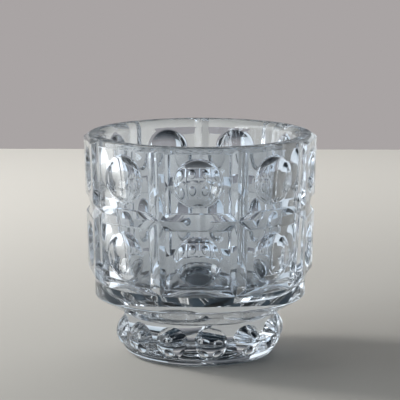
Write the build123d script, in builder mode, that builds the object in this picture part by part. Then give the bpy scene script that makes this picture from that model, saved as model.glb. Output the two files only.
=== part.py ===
# Pressed-glass candle holder: a nine-sided cup with two rows of raised,
# thumb-printed blocks, standing on a short neck and a beaded ring foot.
# Millimetres, +Z up. The origin is the middle of the resting surface.
from math import cos, radians, sin, sqrt, tan
from build123d import *
import os

os.makedirs("parts", exist_ok=True)

# Counts and turns
block_count = 9
bead_count = 12
front_turn = -90.0
bead_turn = 9.2

# Heights, stacked up from the resting surface
ledge_height = 9.8
neck_rise = 5.8
underside_rise = 6.6
band_height = 5.9
base_bevel_height = 2.8
block_face_height = 21.0
groove_bevel_height = 3.1
rim_bevel_height = 1.9
floor_thickness = 10.9

# The flat faces of the blocks, from the axis at the height of the middle
# groove, and what stands in or out from them
block_face_distance = 40.2
side_groove_half_width = 3.13
groove_inset = 0.45
rim_step = 0.2
band_inset = 2.0
lip_width = 6.0
inside_taper = 3.6
wall_draft = 1.7
valley_width_share = 0.03

# Neck and foot, from the band inwards and down
neck_inset = 11.1
ledge_width = 1.1
ring_width = 8.7
recess_depth = 3.5

# Thumbprints
dimple_radius = 8.25
dimple_depth = 3.2

# Beads, from the upper edge and the side of the ring
bead_drop = 0.7
bead_standout = 2.45
bead_gap = 1.7

# Roundings
lip_round = 3.0
floor_round = 5.5
band_round = 1.8
ring_round = 5.1
ledge_round = 0.4
recess_round = 0.8

# How far a cutting shape runs past the face it opens
overrun = 5.0

sector = 360.0 / block_count

# Levels of the holder, from the foot up
neck_height = ledge_height + neck_rise
band_bottom = neck_height + underside_rise
band_top = band_bottom + band_height
lower_face_bottom = band_top + base_bevel_height
lower_face_top = lower_face_bottom + block_face_height
groove_height = lower_face_top + groove_bevel_height
upper_face_bottom = groove_height + groove_bevel_height
upper_face_top = upper_face_bottom + block_face_height
rim_height = upper_face_top + rim_bevel_height
floor_height = neck_height + floor_thickness
bead_height = ledge_height - bead_drop

# Radii of the holder, and the half width that the side grooves leave
groove_radius = block_face_distance - groove_inset
rim_radius = block_face_distance + rim_step
band_radius = block_face_distance - band_inset
mouth_radius = rim_radius - lip_width
floor_radius = mouth_radius - inside_taper
neck_radius = band_radius - neck_inset
ring_radius = neck_radius + ledge_width
recess_radius = ring_radius - ring_width
bead_reach = ring_radius + bead_standout
bead_pitch = 2 * ring_radius * sin(radians(180 / bead_count))
bead_sphere_radius = (bead_pitch - bead_gap) / 2
face_reach = block_face_distance * tan(radians(sector / 2))
block_face_half_width = face_reach - side_groove_half_width

draft_slope = tan(radians(wall_draft))


def around(radius, turn):
    """Point at a radius, turned from the front middle towards the right."""
    angle = radians(front_turn + turn)
    return (radius * cos(angle), radius * sin(angle))


def drafted(radius, height):
    """Radius given at the groove, leaning outwards with height."""
    return radius + (height - groove_height) * draft_slope


def face_corner(distance, across, turn):
    """Point on a flat block face, across from the middle of that face."""
    angle = radians(front_turn + turn)
    x = distance * cos(angle) - across * sin(angle)
    y = distance * sin(angle) + across * cos(angle)
    return (x, y)


def faceted_outline(height):
    """Flat faces joined by the sloping sides of the upright grooves."""
    valley = drafted(groove_radius, height)
    distance = drafted(block_face_distance, height)
    half = block_face_half_width
    for index in range(block_count):
        turn = index * sector
        left = face_corner(distance, -half, turn)
        right = face_corner(distance, half, turn)
        bottom = around(valley, turn + sector / 2)
        following = face_corner(distance, -half, turn + sector)
        Line(left, right)
        Line(right, bottom)
        Line(bottom, following)


def round_outline(radius):
    """The same number of edges as the faceted outline, laid on a circle."""
    narrow = sector / 2 * (1 - valley_width_share)
    for index in range(block_count):
        turn = index * sector
        left = around(radius, turn - narrow)
        middle = around(radius, turn)
        right = around(radius, turn + narrow)
        bottom = around(radius, turn + sector / 2)
        following = around(radius, turn + sector - narrow)
        ThreePointArc(left, middle, right)
        Line(right, bottom)
        Line(bottom, following)


# The spherical thumbprint is cut square to the leaning face, so its centre
# is set out along the normal of that face.
dimple_sphere_radius = (dimple_radius**2 + dimple_depth**2) / (2 * dimple_depth)
dimple_centre_offset = dimple_sphere_radius - dimple_depth
normal_length = sqrt(1 + draft_slope**2)
dimple_step_out = dimple_centre_offset / normal_length
dimple_step_down = dimple_step_out * draft_slope


def cut_thumbprints(face_top):
    """One ring of round hollows, centred on the faces of one block row."""
    middle = face_top - block_face_height / 2
    reach = drafted(block_face_distance, middle) + dimple_step_out
    with Locations((0, 0, middle - dimple_step_down)):
        with PolarLocations(reach, block_count, start_angle=front_turn):
            Sphere(dimple_sphere_radius, mode=Mode.SUBTRACT)


# Cup: thick floor, smooth band and sloping underside in one turned shape,
# with the block rows standing on the band.
with BuildPart() as cup:
    with BuildSketch(Plane.XZ):
        with BuildLine():
            Polyline(
                (0, neck_height),
                (neck_radius, neck_height),
                (band_radius, band_bottom),
                (band_radius, band_top),
                (0, band_top),
                close=True,
            )
        make_face()
        band_corners = vertices().group_by(Axis.X)[-1].sort_by(Axis.Y)
        fillet(band_corners[0], band_round)
    revolve(axis=Axis.Z)
    # Two rows of blocks between the band, the middle groove and the rim
    with BuildSketch(Plane.XY.offset(band_top)):
        with BuildLine():
            round_outline(band_radius)
        make_face()
    with BuildSketch(Plane.XY.offset(lower_face_bottom)):
        with BuildLine():
            faceted_outline(lower_face_bottom)
        make_face()
    with BuildSketch(Plane.XY.offset(lower_face_top)):
        with BuildLine():
            faceted_outline(lower_face_top)
        make_face()
    with BuildSketch(Plane.XY.offset(groove_height)):
        with BuildLine():
            round_outline(groove_radius)
        make_face()
    with BuildSketch(Plane.XY.offset(upper_face_bottom)):
        with BuildLine():
            faceted_outline(upper_face_bottom)
        make_face()
    with BuildSketch(Plane.XY.offset(upper_face_top)):
        with BuildLine():
            faceted_outline(upper_face_top)
        make_face()
    with BuildSketch(Plane.XY.offset(rim_height)):
        with BuildLine():
            round_outline(rim_radius)
        make_face()
    loft(ruled=True)
    # Round inside with a slight draft and a rounded floor corner
    with BuildSketch(Plane.XZ):
        with BuildLine():
            Polyline(
                (0, floor_height),
                (floor_radius, floor_height),
                (mouth_radius, rim_height),
                (mouth_radius, rim_height + overrun),
                (0, rim_height + overrun),
                close=True,
            )
        make_face()
        floor_corners = vertices().group_by(Axis.Y)[0].sort_by(Axis.X)
        fillet(floor_corners[-1], floor_round)
    revolve(axis=Axis.Z, mode=Mode.SUBTRACT)
    # Soft inner edge of the lip
    rim_edges = edges().filter_by(GeomType.CIRCLE).group_by(Axis.Z)[-1]
    fillet(rim_edges.sort_by(SortBy.RADIUS)[0], lip_round)
    # Thumbprints in both rows
    cut_thumbprints(lower_face_top)
    cut_thumbprints(upper_face_top)

cup.part.label = "cup"
export_step(cup.part, "parts/cup.step")

# Foot: short neck over a ring with a rounded lower edge, domed recess
# beneath, and a row of beads standing out of the ring.
with BuildPart() as foot:
    with BuildSketch(Plane.XZ):
        with BuildLine():
            Polyline(
                (0, 0),
                (ring_radius, 0),
                (ring_radius, ledge_height),
                (neck_radius, ledge_height),
                (neck_radius, neck_height),
                (0, neck_height),
                close=True,
            )
        make_face()
        ring_corners = vertices().group_by(Axis.X)[-1].sort_by(Axis.Y)
        fillet(ring_corners[0], ring_round)
        ledge_corners = vertices().group_by(Axis.X)[-1].sort_by(Axis.Y)
        fillet(ledge_corners[-1], ledge_round)
    revolve(axis=Axis.Z)
    with Locations((0, 0, bead_height)):
        with PolarLocations(
            bead_reach - bead_sphere_radius,
            bead_count,
            start_angle=front_turn + bead_turn,
        ):
            Sphere(bead_sphere_radius)
    # Domed recess under the foot leaves a ring to stand on
    with BuildSketch(Plane.XZ):
        with BuildLine():
            Line((0, 0), (0, recess_depth))
            RadiusArc(
                (0, recess_depth),
                (recess_radius, 0),
                (recess_radius**2 + recess_depth**2) / (2 * recess_depth),
            )
            Line((recess_radius, 0), (0, 0))
        make_face()
    revolve(axis=Axis.Z, mode=Mode.SUBTRACT)
    base_edges = edges().filter_by(GeomType.CIRCLE).group_by(Axis.Z)[0]
    fillet(base_edges.sort_by(SortBy.RADIUS)[0], recess_round)

foot.part.label = "foot"
export_step(foot.part, "parts/foot.step")
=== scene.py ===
# Pressed-glass candle holder: a nine-sided cup with two rows of thumb-printed
# blocks on a short neck and a beaded ring foot. Metres, +Z up, and the frame of
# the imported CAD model: the axis is X = Y = 0 and the table is Z = 0.
from math import asin, atan, cos, pi, radians, sin, sqrt, tan

import bmesh
import bpy
from bpy.props import FloatProperty, FloatVectorProperty, IntProperty, PointerProperty
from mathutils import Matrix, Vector


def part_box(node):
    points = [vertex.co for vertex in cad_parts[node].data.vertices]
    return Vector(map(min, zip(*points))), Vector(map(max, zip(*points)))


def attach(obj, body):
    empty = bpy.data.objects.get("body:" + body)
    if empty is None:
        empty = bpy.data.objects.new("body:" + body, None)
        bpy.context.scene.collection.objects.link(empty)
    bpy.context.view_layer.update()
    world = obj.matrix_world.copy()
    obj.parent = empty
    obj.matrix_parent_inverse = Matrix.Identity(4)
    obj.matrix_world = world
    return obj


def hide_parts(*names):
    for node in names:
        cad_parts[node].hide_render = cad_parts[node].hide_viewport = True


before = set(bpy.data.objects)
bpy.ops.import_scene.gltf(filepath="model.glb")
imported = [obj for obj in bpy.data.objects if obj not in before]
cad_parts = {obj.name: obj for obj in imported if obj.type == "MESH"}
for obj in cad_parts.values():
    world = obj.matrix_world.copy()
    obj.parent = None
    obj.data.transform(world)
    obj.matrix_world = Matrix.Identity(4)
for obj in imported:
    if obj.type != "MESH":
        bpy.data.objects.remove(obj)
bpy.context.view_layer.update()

bl_info = {
    "name": "Pressed Glass Candle Holder",
    "version": (1, 0, 0),
    "blender": (4, 5, 0),
    "location": "View3D > Sidebar > Candle Holder",
    "description": "Builds a faceted pressed-glass candle holder and a plain studio for it",
    "category": "Add Mesh",
}

cup_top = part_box("cup")[1]
MM = 0.001

# Heights on the cup: from the band to the rim, the bevels, and the band
BLOCKS_HEIGHT = 52.9 * MM
BASE_BEVEL_HEIGHT = 2.8 * MM
GROOVE_BEVEL_HEIGHT = 3.1 * MM
BAND_HEIGHT = 5.9 * MM

# The domed recess under the foot
RECESS_RADIUS = 19.5 * MM
RECESS_DEPTH = 3.5 * MM

# The front of the holder and the turn of the first bead from it, in degrees,
# and how far the beads' middles lie under the upper edge of the ring
FRONT_TURN = -90
BEAD_TURN = 9.2
BEAD_DROP = 1.0 * MM

# Roundings of the inside corner, the band, the ring and the recess
FLOOR_ROUND = 5.5 * MM
BAND_ROUND = 1.0 * MM
RING_ROUND = 5.1 * MM
LEDGE_ROUND = 0.4 * MM
RECESS_ROUND = 0.8 * MM

# Fineness: steps along one side of a face and rings on a thumbprint
SIDE_STEPS = 16
CAP_RINGS = 12

# Rings that close a flat round face, as shares of its radius
FLOOR_SHARES = (0.6, 0.3, 0.1)
JOINT_SHARES = (0.6, 0.2)

# Waves that the mould leaves in the glass
MOULD_WAVE_LENGTH = 6 * MM
MOULD_WAVE_DEPTH = 0.05 * MM

# The far edge of the table is the photograph's horizon
TABLE_SIZE = 1.02

# Camera, where the rings and corners in the photograph place it
CAMERA_PLACE = (0.01362, -0.8216, 0.19524)
CAMERA_AIM = (0, 0, 0.05617)
CAMERA_LENS = 207


def linear_colour(code):
    """Turn an sRGB hex colour such as 'dce6ea' to linear red, green, blue."""
    channels = []
    for place in (0, 2, 4):
        value = int(code[place:place + 2], 16) / 255
        if value <= 0.04045:
            channels.append(value / 12.92)
        else:
            channels.append(((value + 0.055) / 1.055) ** 2.4)
    return channels


def add_node(tree, kind, settings=None, links=None):
    """Add a node, set its sockets or properties, and link what feeds it."""
    node = tree.nodes.new(kind)
    for name, value in (settings or {}).items():
        if name in node.inputs:
            node.inputs[name].default_value = value
        else:
            setattr(node, name, value)
    for name, source in (links or {}).items():
        tree.links.new(source, node.inputs[name])
    return node


class HolderSizes(bpy.types.PropertyGroup):
    """Sizes of the glass: the CAD model's, and fine roundings of its edges."""

    block_count: IntProperty(
        name="Blocks round",
        description="Number of flat-faced blocks round the cup",
        default=9,
        min=5,
    )
    block_face_distance: FloatProperty(
        name="Block face distance",
        description="From the axis to the flat faces at the middle groove",
        default=40.2 * MM,
        unit="LENGTH",
    )
    block_face_width: FloatProperty(
        name="Block face width",
        description="Width of one flat face between its bevels",
        default=23.0 * MM,
        unit="LENGTH",
    )
    block_face_height: FloatProperty(
        name="Block face height",
        description="Height of one flat face between its bevels",
        default=21.0 * MM,
        unit="LENGTH",
    )
    groove_radius: FloatProperty(
        name="Groove radius",
        description="Radius at the bottom of the middle groove",
        default=39.75 * MM,
        unit="LENGTH",
    )
    rim_radius: FloatProperty(
        name="Rim radius",
        description="Outer radius of the flat rim",
        default=40.4 * MM,
        unit="LENGTH",
    )
    band_radius: FloatProperty(
        name="Band radius",
        description="Radius of the smooth band under the blocks",
        default=38.2 * MM,
        unit="LENGTH",
    )
    wall_draft: FloatProperty(
        name="Wall draft",
        description="Lean of the block faces, outwards with height",
        default=radians(1.7),
        subtype="ANGLE",
    )
    dimple_radius: FloatProperty(
        name="Thumbprint radius",
        description="Radius of the rim of each round hollow",
        default=8.25 * MM,
        unit="LENGTH",
    )
    dimple_depth: FloatProperty(
        name="Thumbprint depth",
        description="Depth of each round hollow under its flat face",
        default=3.2 * MM,
        unit="LENGTH",
    )
    mouth_radius: FloatProperty(
        name="Mouth radius",
        description="Inside radius at the rim",
        default=34.4 * MM,
        unit="LENGTH",
    )
    floor_radius: FloatProperty(
        name="Floor radius",
        description="Inside radius at the floor of the cup",
        default=30.8 * MM,
        unit="LENGTH",
    )
    floor_height: FloatProperty(
        name="Floor height",
        description="Height of the candle's seat above the table",
        default=26.5 * MM,
        unit="LENGTH",
    )
    neck_radius: FloatProperty(
        name="Neck radius",
        description="Radius of the short neck between cup and foot",
        default=27.1 * MM,
        unit="LENGTH",
    )
    neck_height: FloatProperty(
        name="Neck height",
        description="Height at which the cup sits on the foot",
        default=15.6 * MM,
        unit="LENGTH",
    )
    ring_radius: FloatProperty(
        name="Ring radius",
        description="Radius of the foot ring behind the beads",
        default=28.2 * MM,
        unit="LENGTH",
    )
    ledge_height: FloatProperty(
        name="Ledge height",
        description="Height of the upper edge of the foot ring",
        default=9.8 * MM,
        unit="LENGTH",
    )
    bead_count: IntProperty(
        name="Beads round",
        description="Number of round beads on the foot",
        default=12,
        min=5,
    )
    bead_radius: FloatProperty(
        name="Bead radius",
        description="Radius of one bead",
        default=6.6 * MM,
        unit="LENGTH",
    )
    bead_reach: FloatProperty(
        name="Bead reach",
        description="From the axis to the front of a bead",
        default=30.65 * MM,
        unit="LENGTH",
    )
    bead_crease: FloatProperty(
        name="Bead crease",
        description="Depth and width of the fine crease round each bead",
        default=0.6 * MM,
        unit="LENGTH",
    )
    rim_round: FloatProperty(
        name="Rim rounding",
        description="Rounding of the outer edge of the rim",
        default=1.0 * MM,
        unit="LENGTH",
    )
    lip_round: FloatProperty(
        name="Lip rounding",
        description="Rounding of the inner edge of the rim",
        default=3.0 * MM,
        unit="LENGTH",
    )
    print_softness: FloatProperty(
        name="Thumbprint edge softness",
        description="How far the rounding at a thumbprint's rim reaches to each side",
        default=0.7 * MM,
        unit="LENGTH",
    )
    face_softness: FloatProperty(
        name="Face edge softness",
        description="How far the rounding of a block face's edges reaches to each side",
        default=0.35 * MM,
        unit="LENGTH",
    )
    groove_softness: FloatProperty(
        name="Groove softness",
        description="Width of the fire-polished rounding in grooves and corners",
        default=0.25 * MM,
        unit="LENGTH",
    )


class HolderFinish(bpy.types.PropertyGroup):
    """Colours of the glass and of the studio."""

    glass_tint: FloatVectorProperty(
        name="Glass tint",
        description="Colour that light takes on where it passes through the glass",
        subtype="COLOR",
        default=linear_colour("e2e8ef"),
        min=0,
        max=1,
    )
    floor_colour: FloatVectorProperty(
        name="Table colour",
        description="Colour of the pale table top",
        subtype="COLOR",
        default=linear_colour("cfcbc4"),
        min=0,
        max=1,
    )
    backdrop_colour: FloatVectorProperty(
        name="Backdrop colour",
        description="Colour of the plain wall behind the table",
        subtype="COLOR",
        default=linear_colour("a9a4a4"),
        min=0,
        max=1,
    )


def take_only(piece):
    """Select one object and make it active, with all else left out."""
    bpy.ops.object.select_all(action="DESELECT")
    piece.select_set(True)
    bpy.context.view_layer.objects.active = piece


def pick_points(test):
    """In edit mode, select the points whose place passes a test."""
    piece = bpy.context.edit_object
    bpy.ops.mesh.select_all(action="DESELECT")
    bpy.ops.mesh.select_mode(type="VERT")
    shape = bmesh.from_edit_mesh(piece.data)
    for point in shape.verts:
        point.select = bool(test(point.co))
    shape.select_flush(True)
    bmesh.update_edit_mesh(piece.data)


def pick_edges(test):
    """In edit mode, select the edges that pass a test."""
    piece = bpy.context.edit_object
    bpy.ops.mesh.select_all(action="DESELECT")
    bpy.ops.mesh.select_mode(type="EDGE")
    shape = bmesh.from_edit_mesh(piece.data)
    for edge in shape.edges:
        edge.select = bool(test(edge))
    shape.select_flush_mode()
    bmesh.update_edit_mesh(piece.data)


def near(value, wanted, slack=0.02 * MM):
    """Whether a length lies at its wanted place."""
    return abs(value - wanted) < slack


def open_edge(edge):
    """Test for an edge on the open outline of a surface."""
    return len(edge.link_faces) < 2


def ring_at(radius, height):
    """Test for an edge of the ring with this radius and height."""
    def on_ring(edge):
        for point in edge.verts:
            across = sqrt(point.co.x ** 2 + point.co.y ** 2)
            if not near(point.co.z, height) or not near(across, radius):
                return False
        return True
    return on_ring


def hollow_rim(distance, middle, radius):
    """Test for an edge where a thumbprint meets its flat face."""
    def on_rim(edge):
        for point in edge.verts:
            across = sqrt(point.co.x ** 2 + (point.co.z - middle) ** 2)
            if not near(point.co.y, -distance) or not near(across, radius):
                return False
        return True
    return on_rim


def face_side(distance, middle, width, height):
    """Test for an edge on one of the four sides of a flat face."""
    def on_side(edge):
        level = all(near(point.co.y, -distance) for point in edge.verts)
        upright = all(near(abs(point.co.x), width / 2) for point in edge.verts)
        lying = all(near(abs(point.co.z - middle), height / 2) for point in edge.verts)
        return level and (upright or lying)
    return on_side


def flat_rings(radius, height, shares):
    """Smaller and smaller rings on a flat round face."""
    return [(share * radius, height) for share in shares]


def close_along(profile):
    """Extrude the selected ring along (radius, height) and close the end."""
    radius, height = profile[0]
    for next_radius, next_height in profile[1:]:
        rise = (0, 0, next_height - height)
        bpy.ops.mesh.extrude_region_move(TRANSFORM_OT_translate={"value": rise})
        grow = next_radius / radius
        bpy.ops.transform.resize(value=(grow, grow, 1), center_override=(0, 0, 0))
        radius, height = next_radius, next_height
    bpy.ops.mesh.merge(type="CENTER")


def round_edges(offset, steps):
    """In edit mode, round the selected edges."""
    bpy.ops.mesh.bevel(offset_type="OFFSET", offset=offset, segments=steps, affect="EDGES")


def round_ring(radius, height, rounding, turn, steps):
    """Round the ring edge at a radius and height, whose faces turn by an angle."""
    pick_edges(ring_at(radius, height))
    round_edges(rounding * tan(turn / 2), steps)


def copy_round(count):
    """In edit mode, copy the whole mesh round the axis to make a full ring."""
    bpy.ops.mesh.select_all(action="SELECT")
    bpy.ops.mesh.spin(
        steps=count - 1,
        dupli=True,
        angle=2 * pi / count * (count - 1),
        center=(0, 0, 0),
        axis=(0, 0, 1),
    )


def turn_outwards():
    """In edit mode, make all faces of the mesh point outwards."""
    bpy.ops.mesh.select_all(action="SELECT")
    bpy.ops.mesh.normals_make_consistent(inside=False)


def apply_modifier(piece, kind, **settings):
    """Add a modifier with its settings and apply it at once."""
    take_only(piece)
    modifier = piece.modifiers.new(kind.lower(), kind)
    for name, value in settings.items():
        setattr(modifier, name, value)
    bpy.ops.object.modifier_apply(modifier=modifier.name)


def finish_piece(piece):
    """Close, turn outwards and smooth a finished body."""
    take_only(piece)
    bpy.ops.object.mode_set(mode="EDIT")
    bpy.ops.mesh.select_all(action="SELECT")
    bpy.ops.mesh.remove_doubles(threshold=0.005 * MM)
    bpy.ops.mesh.normals_make_consistent(inside=False)
    bpy.ops.object.mode_set(mode="OBJECT")
    bpy.ops.object.shade_smooth_by_angle(angle=radians(32), keep_sharp_edges=True)
    apply_modifier(piece, "WEIGHTED_NORMAL", mode="FACE_AREA", weight=50, keep_sharp=True)


def make_glass(context, name):
    """Pressed soda-lime glass, fire-polished.

    The mould leaves it very slightly wavy and the flame leaves it glossy, so
    the eye sees sharp bright and dark lines that swim a little.
    """
    finish = context.scene.holder_finish
    material = bpy.data.materials.new(name)
    material.use_nodes = True
    tree = material.node_tree
    tree.nodes.clear()
    place = add_node(tree, "ShaderNodeTexCoord")
    waves = add_node(
        tree,
        "ShaderNodeTexNoise",
        {"Scale": 1 / MOULD_WAVE_LENGTH, "Detail": 1.0, "Roughness": 0.4},
        {"Vector": place.outputs["Object"]},
    )
    bump = add_node(
        tree,
        "ShaderNodeBump",
        {"Strength": 0.15, "Distance": MOULD_WAVE_DEPTH},
        {"Height": waves.outputs["Fac"]},
    )
    glass = add_node(
        tree,
        "ShaderNodeBsdfPrincipled",
        {
            "Base Color": (*finish.glass_tint, 1),
            "Roughness": 0.0,
            "IOR": 1.52,
            "Transmission Weight": 1.0,
        },
        {"Normal": bump.outputs["Normal"]},
    )
    add_node(tree, "ShaderNodeOutputMaterial", {}, {"Surface": glass.outputs["BSDF"]})
    return material


def make_joint():
    """Melted joint of cup and foot: unbroken glass, so it shows nothing."""
    material = bpy.data.materials.get("melted_glass_joint")
    if material is None:
        material = bpy.data.materials.new("melted_glass_joint")
        material.use_nodes = True
        tree = material.node_tree
        tree.nodes.clear()
        clear = add_node(tree, "ShaderNodeBsdfTransparent")
        add_node(tree, "ShaderNodeOutputMaterial", {}, {"Surface": clear.outputs["BSDF"]})
    return material


def make_table(context):
    """Painted table top: pale, matt and plain, so it shows only soft shadows."""
    finish = context.scene.holder_finish
    material = bpy.data.materials.new("painted_table")
    material.use_nodes = True
    shader = material.node_tree.nodes["Principled BSDF"]
    shader.inputs["Base Color"].default_value = (*finish.floor_colour, 1)
    shader.inputs["Roughness"].default_value = 0.7
    return material


def fill_with_glass(context, piece, name):
    """Give a body its glass, and the joint's clear material where it is joined."""
    joint_height = context.scene.holder_sizes.neck_height
    piece.data.materials.clear()
    piece.data.materials.append(make_glass(context, name))
    piece.data.materials.append(make_joint())
    for face in piece.data.polygons:
        if near(face.center.z, joint_height):
            face.material_index = 1


def add_hollow(sizes, middle):
    """Start a block with its thumbprint: the cap of a ball before the face."""
    distance = sizes.block_face_distance
    # The ball gets the rim of the hollow on one of its own rings
    cap_angle = 2 * atan(sizes.dimple_depth / sizes.dimple_radius)
    ball_rings = round(CAP_RINGS * pi / cap_angle)
    cap_angle = CAP_RINGS * pi / ball_rings
    ball = sizes.dimple_radius / sin(cap_angle)
    bpy.ops.object.select_all(action="DESELECT")
    bpy.ops.mesh.primitive_uv_sphere_add(
        segments=4 * SIDE_STEPS,
        ring_count=ball_rings,
        radius=ball,
        location=(0, -(distance + ball * cos(cap_angle)), middle),
        rotation=(pi / 2, 0, 0),
    )
    bpy.ops.object.transform_apply(location=True, rotation=True, scale=True)
    block = bpy.context.object
    bpy.ops.object.mode_set(mode="EDIT")
    pick_points(lambda place: place.y < -distance - 0.05 * MM)
    bpy.ops.mesh.delete(type="VERT")
    return block


def add_flat_face(sizes, middle):
    """In edit mode, span the flat face between the hollow and its outline.

    The outline is joined to the hollow's rim from a little way off, and then
    pushed back level with it.
    """
    distance = sizes.block_face_distance
    way_off = sizes.block_face_width
    bpy.ops.mesh.select_all(action="DESELECT")
    bpy.ops.mesh.primitive_plane_add(
        size=1,
        location=(0, -distance - way_off, middle),
        rotation=(pi / 2, 0, 0),
    )
    bpy.ops.transform.resize(
        value=(sizes.block_face_width, 1, sizes.block_face_height),
        center_override=(0, -distance, middle),
    )
    bpy.ops.mesh.delete(type="ONLY_FACE")
    pick_edges(lambda edge: not edge.link_faces)
    bpy.ops.mesh.subdivide(number_cuts=SIDE_STEPS - 1)
    pick_edges(open_edge)
    bpy.ops.mesh.bridge_edge_loops()
    pick_edges(open_edge)
    bpy.ops.transform.translate(value=(0, way_off, 0))


def draw_out_bevels(sizes, middle, low, high):
    """In edit mode, draw the face's outline out to the grooves round it."""
    distance = sizes.block_face_distance
    half_sector = pi / sizes.block_count
    valley_x = sizes.groove_radius * sin(half_sector)
    valley_y = -sizes.groove_radius * cos(half_sector)
    wider = 2 * valley_x / sizes.block_face_width
    taller = (high - low) / sizes.block_face_height
    bpy.ops.mesh.extrude_region_move()
    bpy.ops.transform.resize(
        value=(wider, 1, taller),
        center_override=(0, -distance, middle),
    )
    shift = (0, valley_y + distance, (high + low) / 2 - middle)
    bpy.ops.transform.translate(value=shift)


def model_block(sizes, middle, low, high):
    """Model one block of a row: its hollow, its flat face and its bevels."""
    distance = sizes.block_face_distance
    width = sizes.block_face_width
    height = sizes.block_face_height
    block = add_hollow(sizes, middle)
    add_flat_face(sizes, middle)
    draw_out_bevels(sizes, middle, low, high)
    turn_outwards()
    pick_edges(hollow_rim(distance, middle, sizes.dimple_radius))
    round_edges(sizes.print_softness, 6)
    pick_edges(face_side(distance, middle, width, height))
    round_edges(sizes.face_softness, 4)
    bpy.ops.object.mode_set(mode="OBJECT")
    return block


def bend_line(block, level, radius):
    """Bend the straight line of points at one level to an arc round the axis."""
    group = block.vertex_groups.new(name="line")
    points = [point.index for point in block.data.vertices if near(point.co.z, level)]
    group.add(points, 1.0, "REPLACE")
    apply_modifier(
        block,
        "CAST",
        cast_type="CYLINDER",
        use_z=False,
        use_radius_as_size=False,
        radius=0,
        size=radius,
        factor=1,
        vertex_group="line",
    )
    block.vertex_groups.clear()


class BuildCup(bpy.types.Operator):
    """Model the faceted cup: blocks, thumbprints, rim, inside and band"""

    bl_idname = "holder.build_cup"
    bl_label = "Cup"

    def execute(self, context):
        sizes = context.scene.holder_sizes
        face_height = sizes.block_face_height
        groove = sizes.groove_radius
        rim_height = cup_top.z
        band_top = rim_height - BLOCKS_HEIGHT
        lower_middle = band_top + BASE_BEVEL_HEIGHT + face_height / 2
        groove_height = lower_middle + face_height / 2 + GROOVE_BEVEL_HEIGHT
        upper_middle = groove_height + GROOVE_BEVEL_HEIGHT + face_height / 2
        lean = tan(sizes.wall_draft) / sizes.block_face_distance

        # Each row: the middle of its faces, and the level and radius of the
        # line below it and of the line above it
        rows = (
            (lower_middle, (band_top, sizes.band_radius), (groove_height, groove)),
            (upper_middle, (groove_height, groove), (rim_height, sizes.rim_radius)),
        )
        blocks = []
        for middle, below, above in rows:
            block = model_block(sizes, middle, below[0], above[0])
            for level, radius in (below, above):
                # The draft below widens each line to its own radius
                bend_line(block, level, radius / (1 + lean * (level - groove_height)))
            blocks.append(block)

        # Both rows as one upright strip, repeated round the axis
        take_only(blocks[0])
        blocks[1].select_set(True)
        bpy.ops.object.join()
        cup = context.object
        cup.name = "pressed_cup"
        bpy.ops.object.mode_set(mode="EDIT")
        copy_round(sizes.block_count)
        bpy.ops.mesh.select_all(action="SELECT")
        bpy.ops.mesh.remove_doubles(threshold=0.02 * MM)
        bpy.ops.object.mode_set(mode="OBJECT")
        # Draft: the ring of blocks widens with height, true at the middle groove
        shrink = 1 - lean * groove_height
        apply_modifier(
            cup,
            "SIMPLE_DEFORM",
            deform_method="TAPER",
            deform_axis="Z",
            factor=lean / shrink * (rim_height - band_top),
        )
        bpy.ops.object.mode_set(mode="EDIT")
        bpy.ops.mesh.select_all(action="SELECT")
        bpy.ops.transform.resize(value=(shrink, shrink, 1), center_override=(0, 0, 0))

        # Rim and inside, from the outer edge of the rim to the middle of the floor
        inside = [
            (sizes.rim_radius, rim_height),
            (sizes.mouth_radius, rim_height),
            (sizes.floor_radius, sizes.floor_height),
        ]
        pick_edges(ring_at(sizes.rim_radius, rim_height))
        close_along(inside + flat_rings(sizes.floor_radius, sizes.floor_height, FLOOR_SHARES))
        # Band and the sloping underside, closed where the foot is joined on
        band_bottom = band_top - BAND_HEIGHT
        under = [
            (sizes.band_radius, band_top),
            (sizes.band_radius, band_bottom),
            (sizes.neck_radius, sizes.neck_height),
        ]
        pick_edges(ring_at(sizes.band_radius, band_top))
        close_along(under + flat_rings(sizes.neck_radius, sizes.neck_height, JOINT_SHARES))
        # Roundings, each by the angle through which its two faces turn
        under_run = sizes.band_radius - sizes.neck_radius
        under_turn = atan(under_run / (band_bottom - sizes.neck_height))
        inner_run = sizes.mouth_radius - sizes.floor_radius
        inner_turn = pi / 2 - atan(inner_run / (rim_height - sizes.floor_height))
        round_ring(sizes.mouth_radius, rim_height, sizes.lip_round, inner_turn, 10)
        round_ring(sizes.rim_radius, rim_height, sizes.rim_round, pi / 2, 5)
        round_ring(sizes.floor_radius, sizes.floor_height, FLOOR_ROUND, inner_turn, 10)
        round_ring(sizes.band_radius, band_bottom, BAND_ROUND, under_turn, 5)
        turn_outwards()
        bpy.ops.object.mode_set(mode="OBJECT")
        # Fire-polished roundings in the grooves and corners of the blocks
        apply_modifier(
            cup,
            "BEVEL",
            limit_method="ANGLE",
            angle_limit=radians(18),
            width=sizes.groove_softness,
            segments=3,
            use_clamp_overlap=True,
        )
        finish_piece(cup)
        fill_with_glass(context, cup, "pressed_soda_lime_cup")
        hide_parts("cup")
        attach(cup, "root")
        return {"FINISHED"}


def arc_points(centre, radius, start, end, steps):
    """Points of (radius, height) along an arc, angles from the outward side."""
    points = []
    for step in range(steps + 1):
        angle = start + (end - start) * step / steps
        points.append((centre[0] + radius * cos(angle), centre[1] + radius * sin(angle)))
    return points


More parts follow.
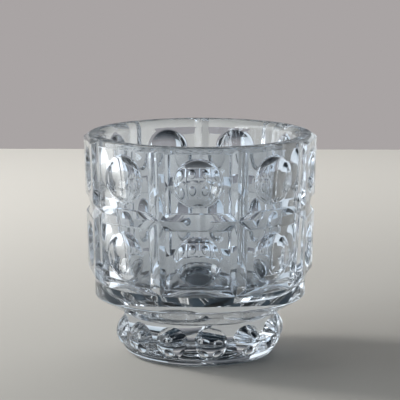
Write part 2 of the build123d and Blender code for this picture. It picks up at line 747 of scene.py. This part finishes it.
def crease_ball(sizes, reach):
    """Radius and place of the ball that cuts the crease round a bead.

    On the side of the ring its cut is wider than the bead by one crease, and
    one crease deeper it meets the bead.
    """
    depth = sizes.bead_crease
    surface = sizes.ring_radius
    outer = sqrt(sizes.bead_radius ** 2 - (surface - reach) ** 2) + depth
    inner = sqrt(sizes.bead_radius ** 2 - (surface - depth - reach) ** 2)
    cut_reach = (outer ** 2 - inner ** 2 + surface ** 2 - (surface - depth) ** 2) / (2 * depth)
    cut_radius = sqrt(outer ** 2 + (surface - cut_reach) ** 2)
    return cut_radius, cut_reach


def ball_row(sizes, radius, reach):
    """Model one ball at the front of the foot and copy it round the ring."""
    turn = radians(FRONT_TURN + BEAD_TURN)
    height = sizes.ledge_height - BEAD_DROP
    bpy.ops.object.select_all(action="DESELECT")
    bpy.ops.mesh.primitive_uv_sphere_add(
        segments=48,
        ring_count=32,
        radius=radius,
        location=(reach * cos(turn), reach * sin(turn), height),
        rotation=(0, pi / 2, turn),
    )
    bpy.ops.object.transform_apply(location=True, rotation=True, scale=True)
    balls = bpy.context.object
    bpy.ops.object.mode_set(mode="EDIT")
    copy_round(sizes.bead_count)
    bpy.ops.object.mode_set(mode="OBJECT")
    return balls


def combine(piece, balls, operation):
    """Cut a row of balls out of a body, or melt it in, and delete the row."""
    apply_modifier(
        piece,
        "BOOLEAN",
        operation=operation,
        solver="EXACT",
        use_self=True,
        object=balls,
    )
    bpy.data.objects.remove(balls)


class BuildFoot(bpy.types.Operator):
    """Model the neck, the ring foot and its row of beads"""

    bl_idname = "holder.build_foot"
    bl_label = "Foot"

    def execute(self, context):
        sizes = context.scene.holder_sizes
        # Top of the neck, closed where the cup is joined on, with as many
        # steps round as the cup has
        neck_top = (sizes.neck_radius, sizes.neck_height)
        bpy.ops.object.select_all(action="DESELECT")
        bpy.ops.mesh.primitive_circle_add(
            vertices=sizes.block_count * SIDE_STEPS,
            radius=sizes.neck_radius,
            location=(0, 0, sizes.neck_height),
        )
        bpy.ops.object.transform_apply(location=True, rotation=True, scale=True)
        foot = context.object
        foot.name = "beaded_foot"
        bpy.ops.object.mode_set(mode="EDIT")
        bpy.ops.mesh.select_all(action="SELECT")
        close_along([neck_top] + flat_rings(*neck_top, JOINT_SHARES))
        # Neck, ledge, ring and the domed recess underneath
        dome_radius = (RECESS_RADIUS ** 2 + RECESS_DEPTH ** 2) / (2 * RECESS_DEPTH)
        dome_edge = pi / 2 - asin(RECESS_RADIUS / dome_radius)
        dome = arc_points((0, RECESS_DEPTH - dome_radius), dome_radius, dome_edge, pi / 2, 12)
        profile = [
            neck_top,
            (sizes.neck_radius, sizes.ledge_height),
            (sizes.ring_radius, sizes.ledge_height),
            (sizes.ring_radius, 0),
        ]
        pick_edges(ring_at(*neck_top))
        close_along(profile + dome[:-1])
        round_ring(sizes.ring_radius, 0, RING_ROUND, pi / 2, 10)
        round_ring(sizes.ring_radius, sizes.ledge_height, LEDGE_ROUND, pi / 2, 3)
        round_ring(RECESS_RADIUS, 0, RECESS_ROUND, pi / 2 - dome_edge, 3)
        turn_outwards()
        bpy.ops.object.mode_set(mode="OBJECT")

        # A crease is cut for each bead, and then the beads are melted in
        reach = sizes.bead_reach - sizes.bead_radius
        combine(foot, ball_row(sizes, *crease_ball(sizes, reach)), "DIFFERENCE")
        combine(foot, ball_row(sizes, sizes.bead_radius, reach), "UNION")
        finish_piece(foot)
        fill_with_glass(context, foot, "pressed_soda_lime_foot")
        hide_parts("foot")
        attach(foot, "root")
        return {"FINISHED"}


def make_room(context):
    """Plain room: what the camera, the glass and matt surfaces see of it."""
    world = bpy.data.worlds.new("plain_room")
    context.scene.world = world
    world.use_nodes = True
    tree = world.node_tree
    tree.nodes.clear()
    # What the glass mirrors and bends into view: the backdrop up to eye level
    # and a darker upper room, from straight down (0) to straight up (1)
    direction = add_node(tree, "ShaderNodeTexCoord")
    parts = add_node(
        tree,
        "ShaderNodeSeparateXYZ",
        {},
        {"Vector": direction.outputs["Generated"]},
    )
    heights = add_node(
        tree,
        "ShaderNodeMapRange",
        {"From Min": -1.0, "From Max": 1.0},
        {"Value": parts.outputs["Z"]},
    )
    room = add_node(tree, "ShaderNodeValToRGB", {}, {"Fac": heights.outputs["Result"]})
    stops = (
        (0.0, "8c8884"),
        (0.4, "a9a4a4"),
        (0.5, "a6a2a2"),
        (0.57, "5a5e62"),
        (0.62, "161c22"),
        (0.84, "0a0e12"),
        (0.88, "26343e"),
        (1.0, "32434e"),
    )
    ramp = room.color_ramp
    while len(ramp.elements) < len(stops):
        ramp.elements.new(0.5)
    for element, (place, code) in zip(ramp.elements, stops):
        element.position = place
        element.color = (*linear_colour(code), 1)
    mirrored = add_node(
        tree,
        "ShaderNodeBackground",
        {"Strength": 1.0},
        {"Color": room.outputs["Color"]},
    )
    # What the camera sees, and the faint light that fills the shadows
    backdrop = context.scene.holder_finish.backdrop_colour
    seen = add_node(
        tree,
        "ShaderNodeBackground",
        {"Color": (*backdrop, 1), "Strength": 1.0},
    )
    soft = add_node(
        tree,
        "ShaderNodeBackground",
        {"Color": (*linear_colour("e3e6ea"), 1), "Strength": 0.09},
    )
    rays = add_node(tree, "ShaderNodeLightPath")
    through = add_node(tree, "ShaderNodeMath", {"operation": "MAXIMUM"})
    tree.links.new(rays.outputs["Is Glossy Ray"], through.inputs[0])
    tree.links.new(rays.outputs["Is Transmission Ray"], through.inputs[1])
    mix_glass = add_node(tree, "ShaderNodeMixShader", {}, {"Fac": through.outputs["Value"]})
    tree.links.new(soft.outputs["Background"], mix_glass.inputs[1])
    tree.links.new(mirrored.outputs["Background"], mix_glass.inputs[2])
    mix_camera = add_node(
        tree,
        "ShaderNodeMixShader",
        {},
        {"Fac": rays.outputs["Is Camera Ray"]},
    )
    tree.links.new(mix_glass.outputs["Shader"], mix_camera.inputs[1])
    tree.links.new(seen.outputs["Background"], mix_camera.inputs[2])
    add_node(tree, "ShaderNodeOutputWorld", {}, {"Surface": mix_camera.outputs["Shader"]})


def add_lamp(name, place, width, height, power, colour):
    """Add a soft rectangular lamp that points at the holder."""
    bpy.ops.object.light_add(type="AREA", location=place)
    lamp = bpy.context.object
    lamp.name = name
    lamp.data.shape = "RECTANGLE"
    lamp.data.size = width
    lamp.data.size_y = height
    lamp.data.energy = power
    lamp.data.color = colour
    aim = Vector((0, 0, 0.04)) - Vector(place)
    lamp.rotation_euler = aim.to_track_quat("-Z", "Y").to_euler()
    return lamp


def add_lamps():
    """Add the lamps that the glass mirrors, and two that light the table."""
    add_lamp(
        "window_front_left",
        place=(-0.72, -0.54, 0.2),
        width=0.3,
        height=0.34,
        power=2.4,
        colour=(0.94, 0.98, 1.0),
    )
    add_lamp(
        "window_left",
        place=(-0.72, 0.0, 0.49),
        width=0.9,
        height=0.36,
        power=3.2,
        colour=(0.9, 0.96, 1.0),
    )
    add_lamp(
        "wall_left",
        place=(-0.85, 0.36, 0.1),
        width=1.4,
        height=0.6,
        power=3.6,
        colour=(0.94, 0.98, 1.0),
    )
    add_lamp(
        "sky_right",
        place=(0.67, 0.67, 0.08),
        width=1.3,
        height=0.24,
        power=0.62,
        colour=(0.82, 0.94, 1.0),
    )
    # The window's light again from a small lamp, for the shadow on the table
    low_sun = add_lamp(
        "low_sun",
        place=(-0.6, 0.22, 0.36),
        width=0.16,
        height=0.16,
        power=2.5,
        colour=(1.0, 0.98, 0.95),
    )
    # Soft light straight down on the far half of the table, the brighter one
    far_light = add_lamp(
        "far_light",
        place=(0.0, 0.44, 0.34),
        width=0.7,
        height=0.3,
        power=1.3,
        colour=(1.0, 1.0, 1.0),
    )
    far_light.rotation_euler = (0, 0, 0)
    for lamp in (low_sun, far_light):
        lamp.visible_camera = False
        lamp.visible_glossy = False
        lamp.visible_transmission = False


def add_camera(context):
    """Add the camera at the photograph's place, and look through it."""
    bpy.ops.object.camera_add(location=CAMERA_PLACE)
    camera = context.object
    camera.name = "photograph_camera"
    camera.data.sensor_width = 36
    camera.data.lens = CAMERA_LENS
    camera.data.clip_end = 10
    aim = Vector(CAMERA_AIM) - camera.location
    camera.rotation_euler = aim.to_track_quat("-Z", "Y").to_euler()
    context.scene.camera = camera


class BuildStage(bpy.types.Operator):
    """Add the pale table, the room, the soft lamps and the camera"""

    bl_idname = "holder.build_stage"
    bl_label = "Studio"

    def execute(self, context):
        bpy.ops.object.select_all(action="DESELECT")
        bpy.ops.mesh.primitive_plane_add(size=TABLE_SIZE)
        table = context.object
        table.name = "table_top"
        table.data.materials.append(make_table(context))
        make_room(context)
        add_lamps()
        add_camera(context)
        scene = context.scene
        scene.view_settings.view_transform = "Standard"
        # Enough bounces for light that crosses the glass walls many times
        scene.cycles.max_bounces = 32
        scene.cycles.transmission_bounces = 24
        scene.cycles.glossy_bounces = 16
        return {"FINISHED"}


class HolderPanel(bpy.types.Panel):
    """Sizes, colours and steps of the candle holder"""

    bl_idname = "HOLDER_PT_panel"
    bl_label = "Candle Holder"
    bl_space_type = "VIEW_3D"
    bl_region_type = "UI"
    bl_category = "Candle Holder"

    def draw(self, context):
        layout = self.layout
        for group in (context.scene.holder_sizes, context.scene.holder_finish):
            for name in group.__annotations__:
                layout.prop(group, name)
        layout.operator(BuildCup.bl_idname)
        layout.operator(BuildFoot.bl_idname)
        layout.operator(BuildStage.bl_idname)


CLASSES = (HolderSizes, HolderFinish, BuildCup, BuildFoot, BuildStage, HolderPanel)


def register():
    """Register the classes and put the properties on the scene."""
    for cls in CLASSES:
        bpy.utils.register_class(cls)
    bpy.types.Scene.holder_sizes = PointerProperty(type=HolderSizes)
    bpy.types.Scene.holder_finish = PointerProperty(type=HolderFinish)


def unregister():
    """Take the properties off the scene and unregister the classes."""
    del bpy.types.Scene.holder_finish
    del bpy.types.Scene.holder_sizes
    for cls in reversed(CLASSES):
        bpy.utils.unregister_class(cls)


def main():
    """Build the holder and its studio."""
    register()
    bpy.ops.holder.build_cup()
    bpy.ops.holder.build_foot()
    bpy.ops.holder.build_stage()


if __name__ == "__main__":
    main()
